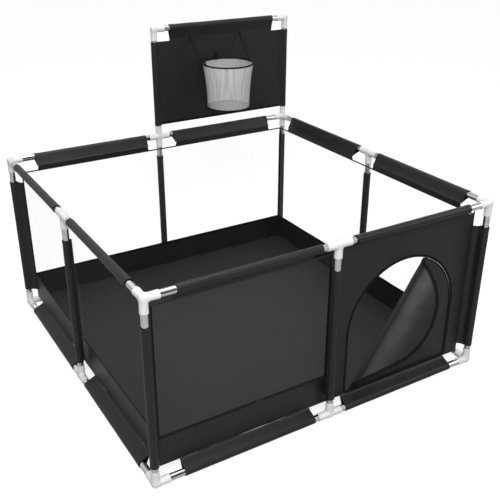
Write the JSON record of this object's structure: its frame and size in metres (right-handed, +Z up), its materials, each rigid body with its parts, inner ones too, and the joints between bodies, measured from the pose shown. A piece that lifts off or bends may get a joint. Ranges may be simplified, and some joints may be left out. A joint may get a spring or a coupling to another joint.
{
  "type": "pet playpen",
  "caption": "Square pet playpen: chromed tubes in white push-fit corners, a hung black bag with mesh walls, an arched zip door and a board with a ball basket.",
  "frame": {"origin": "on the ground under the pen's centre, at the underside of the bag's floor", "axes": "+Z up, -Y out of the side with the door, +X towards the door's half of that side"},
  "size_m": [1.2678, 1.3341, 1.0744],
  "materials": {
    "steel_tube": "polished chrome on steel",
    "white_plastic": "smooth moulded",
    "black_cloth": "coated oxford weave",
    "floor_cloth": "coated oxford weave",
    "mesh_cloth": "open knitted mesh",
    "basket_net": "fine net",
    "webbing": "woven tape",
    "coated_wire": "satin coating",
    "zip_metal": "black enamel"
  },
  "bodies": {
    "pen": {"bag_floor": "floor_cloth", "door_panel": "black_cloth", "lower_corner_back_left": "white_plastic", "lower_corner_back_right": "white_plastic", "lower_corner_near_left": "white_plastic", "lower_corner_near_right": "white_plastic", "lower_rail_back_left": "steel_tube", "lower_rail_back_right": "steel_tube", "lower_rail_front_left": "steel_tube", "lower_rail_front_right": "steel_tube", "lower_rail_left_back": "steel_tube", "lower_rail_left_front": "steel_tube", "lower_rail_right_back": "steel_tube", "lower_rail_right_front": "steel_tube", "lower_tee_back_middle": "white_plastic", "lower_tee_front_middle": "white_plastic", "lower_tee_left_middle": "white_plastic", "lower_tee_right_middle": "white_plastic", "post_back_left": "steel_tube", "post_back_middle": "steel_tube", "post_back_right": "steel_tube", "post_front_middle": "steel_tube", "post_left_middle": "steel_tube", "post_near_left": "steel_tube", "post_near_right": "steel_tube", "post_right_middle": "steel_tube", "upper_corner_back_left": "white_plastic", "upper_corner_back_right": "white_plastic", "upper_corner_near_left": "white_plastic", "upper_corner_near_right": "white_plastic", "upper_rail_back_left": "steel_tube", "upper_rail_back_right": "steel_tube", "upper_rail_front_left": "steel_tube", "upper_rail_front_right": "steel_tube", "upper_rail_left_back": "steel_tube", "upper_rail_left_front": "steel_tube", "upper_rail_right_back": "steel_tube", "upper_rail_right_front": "steel_tube", "upper_tee_back_middle": "white_plastic", "upper_tee_front_middle": "white_plastic", "upper_tee_left_middle": "white_plastic", "upper_tee_right_middle": "white_plastic", "wall_back": "mesh_cloth", "wall_front": "mesh_cloth", "wall_left": "mesh_cloth", "wall_right": "mesh_cloth"},
    "board": {"board_elbow_left": "white_plastic", "board_elbow_right": "white_plastic", "board_panel": "black_cloth", "board_post_left": "steel_tube", "board_post_right": "steel_tube", "board_rail": "steel_tube", "basket_clip": "black_cloth", "strap_left": "webbing", "strap_right": "webbing"},
    "basket": {"basket_ring": "coated_wire", "basket_net": "basket_net"},
    "door_roll": {"door_roll": "black_cloth"},
    "door_flap": {"door_flap": "black_cloth"},
    "zip_slider": {"zip_slider": "zip_metal"}
  },
  "joints": [
    {"name": "board_lift", "type": "slide", "parent": "pen", "child": "board", "axis": [0, 0, 1], "range_m": [0, 0.032]},
    {"name": "basket_lift", "type": "hinge", "parent": "board", "child": "basket", "pos_m": [0.275, 0.61295, 0.9199], "axis": [-1, 0, 0], "range_deg": [0, 60], "deforming": ["strap_left", "strap_right"]},
    {"name": "door_roll_fold", "type": "hinge", "parent": "pen", "child": "door_roll", "pos_m": [0.09456, -0.59395, 0.05689], "axis": [-0.5564, 0, -0.8309], "range_deg": [0, 72]},
    {"name": "door_flap_fold", "type": "hinge", "parent": "door_roll", "child": "door_flap", "pos_m": [0.08811, -0.61786, 0.06121], "axis": [-0.5564, 0, -0.8309], "range_deg": [0, 72]},
    {"name": "zip_travel", "type": "hinge", "parent": "pen", "child": "zip_slider", "pos_m": [0.305, -0.592, 0.2669], "axis": [0, -1, 0], "range_deg": [-66, 108]}
  ],
  "couplings": [
    {"joint": "door_flap_fold", "follows": "door_roll_fold", "ratio": 1}
  ]
}
